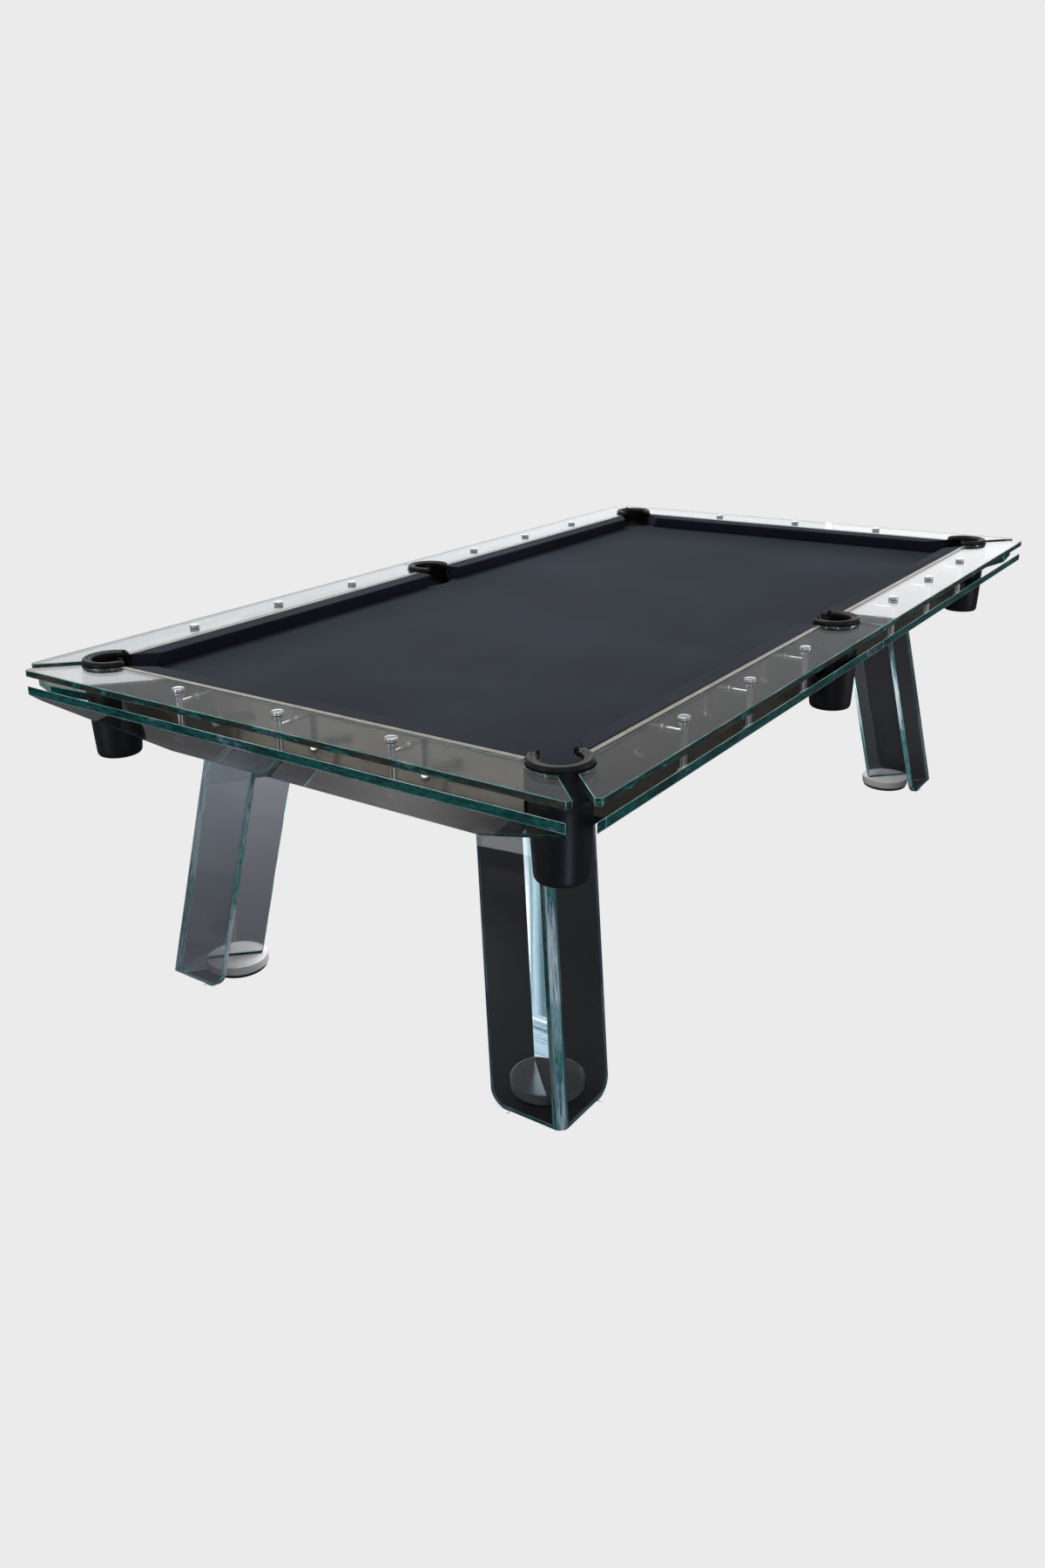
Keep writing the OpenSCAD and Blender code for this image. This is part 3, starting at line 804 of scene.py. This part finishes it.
PALE = 0.83
ROOM = 0.3
FLOOR = 0.14
COOL = (0.95, 0.98, 1)
WARM = (1, 0.98, 0.95)
CAMERA_AT = Vector((-2.809, -1.6809, 1.5217))
YAW = math.radians(35.61)
PITCH = math.radians(-16.80)
ROLL = math.radians(-1.18)


def camera():
    """The camera, level with the horizon at zero pitch and looking along X at zero yaw."""
    data = bpy.data.cameras.new("studio_camera")
    data.lens = 28.75
    data.sensor_width = 36
    data.shift_x = 0.0072
    data.shift_y = -0.0649
    data.clip_start, data.clip_end = 0.05, 200
    made = bpy.data.objects.new("studio_camera", data)
    bpy.context.scene.collection.objects.link(made)
    turn = Matrix.Rotation(YAW - math.pi / 2, 4, "Z") @ Matrix.Rotation(math.pi / 2 + PITCH, 4, "X")
    made.matrix_world = Matrix.Translation(CAMERA_AT) @ turn @ Matrix.Rotation(ROLL, 4, "Z")
    bpy.context.scene.camera = made


def studio_world():
    """A pale background for the camera, and a dim room for everything else."""
    world = bpy.data.worlds.new("studio")
    world.use_nodes = True
    seen = world.node_tree.nodes["Background"]
    seen.inputs["Color"].default_value = (PALE, PALE, PALE, 1)
    unseen = add(world, "ShaderNodeBackground", Color=(ROOM, ROOM, ROOM * 1.05, 1))
    switched(world, "Is Camera Ray", unseen, seen, "World Output")
    bpy.context.scene.world = world


def studio_floor():
    """A floor that the camera sees as pale as the background, and that lights and reflects darker."""
    bm = bmesh.new()
    bmesh.ops.create_circle(bm, cap_ends=True, segments=96, radius=60)
    mesh = bpy.data.meshes.new("studio_floor")
    bm.to_mesh(mesh)
    bm.free()
    floor = bpy.data.objects.new("studio_floor", mesh)
    bpy.context.scene.collection.objects.link(floor)
    paper = bpy.data.materials.new("studio_paper")
    paper.use_nodes = True
    paper.node_tree.nodes.remove(shader_of(paper))
    glow = add(paper, "ShaderNodeEmission", Color=(PALE, PALE, PALE, 1))
    dull = add(paper, "ShaderNodeBsdfDiffuse", Color=(FLOOR, FLOOR, FLOOR + 0.005, 1))
    switched(paper, "Is Camera Ray", dull, glow)
    mesh.materials.append(paper)


def soft_box(name, at, aim, size, glow, colour=(1, 1, 1), through=True, glossy=True):
    """A panel light; glow is how bright its face looks."""
    data = bpy.data.lights.new(name, "AREA")
    data.shape = "RECTANGLE"
    data.size, data.size_y = size
    data.energy = glow * math.pi * size[0] * size[1]
    data.color = colour
    data.spread = math.pi
    made = bpy.data.objects.new(name, data)
    made.location = at
    made.rotation_mode = "QUATERNION"
    made.rotation_quaternion = (Vector(aim) - Vector(at)).to_track_quat("-Z", "Y")
    made.visible_camera = False
    made.visible_transmission = through
    made.visible_glossy = glossy
    bpy.context.scene.collection.objects.link(made)


def studio_lights():
    """Panels around the table, and a small lamp inside it for each of two feet."""
    soft_box("overhead", (0.4, 1.3, 3.5), (0, 0.2, 0.7), (3.4, 2.2), 2.8)
    soft_box("window_back", (4.6, 5.2, 2.05), (0, 0, 0.7), (8.5, 1.6), 1.2, (0.95, 0.97, 1))
    soft_box("window_right", (7.8, 0.6, 2.0), (0, 0, 0.7), (3.6, 1.4), 1.4, (0.98, 0.98, 1))
    soft_box("strip_left", (-4.6, 0.4, 1.3), (0, 0, 0.5), (0.5, 2.2), 2.4, COOL)
    soft_box("strip_front", (1.0, -4.6, 1.3), (0.3, 0, 0.5), (0.5, 2.2), 2.4, WARM)
    soft_box("strip_near", (-3.6, -3.4, 2.2), (0, 0, 0.5), (0.9, 1.6), 1.6)
    soft_box("low_left", (-3.2, 0.9, 0.42), (-1, 0, 0.42), (0.7, 0.7), 2.4, COOL)
    soft_box("low_front", (0.9, -2.8, 0.42), (0.4, -0.7, 0.42), (0.9, 0.7), 2.4)
    soft_box("cup_gloss", (-1.5, -1.25, 0.2), (-1.2, -0.64, 0.64), (0.25, 0.35), 2.5, (0.7, 0.82, 1))
    for corner, glow in (("back_left", 22), ("front_right", 7)):
        at = centre(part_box("foot_disc_" + corner))
        inside = Vector((at.x * 0.75, at.y * 0.75, 0.36))
        soft_box("foot_lamp_" + corner, inside, at, (0.2, 0.2), glow, through=False, glossy=False)


def card(name, foot, azimuth, reach, width, height, colours, through=False):
    """A glowing sheet that paints reflections into the legs' glass: it lights nothing and shows only in sharp
    reflections, and through glass when through is set. It lies on the floor from a foot outwards, then stands
    up.
    """
    bm = bmesh.new()
    flat = Matrix.Translation((reach / 2, 0, 3 * MM)) @ Matrix.Diagonal((reach, width, 1, 1))
    bmesh.ops.create_grid(bm, x_segments=1, y_segments=1, size=0.5, matrix=flat)
    upright = (Matrix.Translation((reach, 0, height / 2)) @ Matrix.Rotation(math.pi / 2, 4, "Y")
               @ Matrix.Diagonal((height, width, 1, 1)))
    bmesh.ops.create_grid(bm, x_segments=1, y_segments=1, size=0.5, matrix=upright)
    bm.transform(Matrix.Translation((foot.x, foot.y, 0)) @ Matrix.Rotation(azimuth, 4, "Z"))
    mesh = bpy.data.meshes.new(name)
    bm.to_mesh(mesh)
    bm.free()
    paper = bpy.data.materials.new(name)
    paper.use_nodes = True
    paper.node_tree.nodes.remove(shader_of(paper))
    glow = add(paper, "ShaderNodeEmission")
    join(paper, colours(paper), glow.inputs["Color"])
    switched(paper, "Is Singular Ray", add(paper, "ShaderNodeBsdfTransparent"), glow)
    mesh.materials.append(paper)
    made = bpy.data.objects.new(name, mesh)
    made.visible_camera = False
    made.visible_transmission = through
    made.visible_shadow = False
    made.visible_diffuse = False
    bpy.context.scene.collection.objects.link(made)


NEAR_FOOT = centre(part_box("foot_disc_front_left"))
LEFT_FOOT = centre(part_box("foot_disc_back_left"))
NEAR_WAY = math.radians(54.4)
LEFT_WAY = math.radians(131)
FLOOR_WAY = math.radians(51)
FLOOR_REACH = 1.25


def streaks(paper):
    """Teal and white lines across the near card: the painted reflection that the near leg's glass shows."""
    lines = noise(paper, place(paper, (0.4, 26, 0.5), (0, 0, -NEAR_WAY)), 1.0, 3, 0.6)
    return ramp(paper, lines, [(0.32, (0.15, 0.6, 0.6)), (0.42, (1.2, 1.8, 2.1)), (0.5, (2.6, 3.6, 4.2)),
                               (0.56, (0.9, 1.7, 1.8)), (0.66, (5.5, 6.0, 6.2))])


def dusk(paper):
    """Clouded bluish light that grows with height."""
    where = add(paper, "ShaderNodeTexCoord")
    parts = add(paper, "ShaderNodeSeparateXYZ")
    join(paper, where.outputs["Object"], parts.inputs["Vector"])
    clouds = span(paper, noise(paper, place(paper, (3, 3, 9)), 1.0, 4, 0.6), -0.12, 0.12)
    return ramp(paper, combine(paper, parts.outputs["Z"], clouds, "ADD"),
                [(0.0, (0.62, 0.68, 0.78)), (0.25, (1.3, 1.5, 1.75)), (0.6, (2.9, 3.4, 3.9))])


def painted_floor_shade(paper):
    """Painted floor shade for the left leg's glass: clouded grey, darkest at the left foot and paler away
    from it.
    """
    start = LEFT_FOOT.x * math.cos(FLOOR_WAY) + LEFT_FOOT.y * math.sin(FLOOR_WAY)
    parts = add(paper, "ShaderNodeSeparateXYZ")
    join(paper, place(paper, (1, 1, 1), (0, 0, -FLOOR_WAY)), parts.inputs["Vector"])
    away = add(paper, "ShaderNodeMapRange", From_Min=start, From_Max=start + FLOOR_REACH,
               To_Min=0.0, To_Max=1.0)
    join(paper, parts.outputs["X"], away.inputs["Value"])
    clouds = span(paper, noise(paper, place(paper, (5, 5, 5)), 1.0, 4, 0.6), -0.15, 0.15)
    return ramp(paper, combine(paper, away.outputs["Result"], clouds, "ADD"),
                [(0.0, (0.15, 0.15, 0.165)), (0.4, (0.24, 0.24, 0.265)), (1.0, (0.42, 0.43, 0.47))])


def studio_cards():
    """Painted reflections: what the glass of the near leg and the left leg shows besides the room."""
    card("left_floor", LEFT_FOOT, FLOOR_WAY, FLOOR_REACH, 0.5, 0.01, painted_floor_shade, True)
    card("near_card", NEAR_FOOT, NEAR_WAY, 0.27, 0.3, 0.48, streaks)
    card("left_card", LEFT_FOOT, LEFT_WAY, 0.62, 0.6, 0.62, dusk)


bpy.context.scene.view_settings.view_transform = "Standard"
camera()
studio_world()
studio_floor()
studio_lights()
studio_cards()
glass_rails()
glass_legs()
cushions()
stretched_cloth()
rail_strips()
post_caps()
post_shafts()
post_feet()
post_pins()
pockets()
feet()
carried_over()
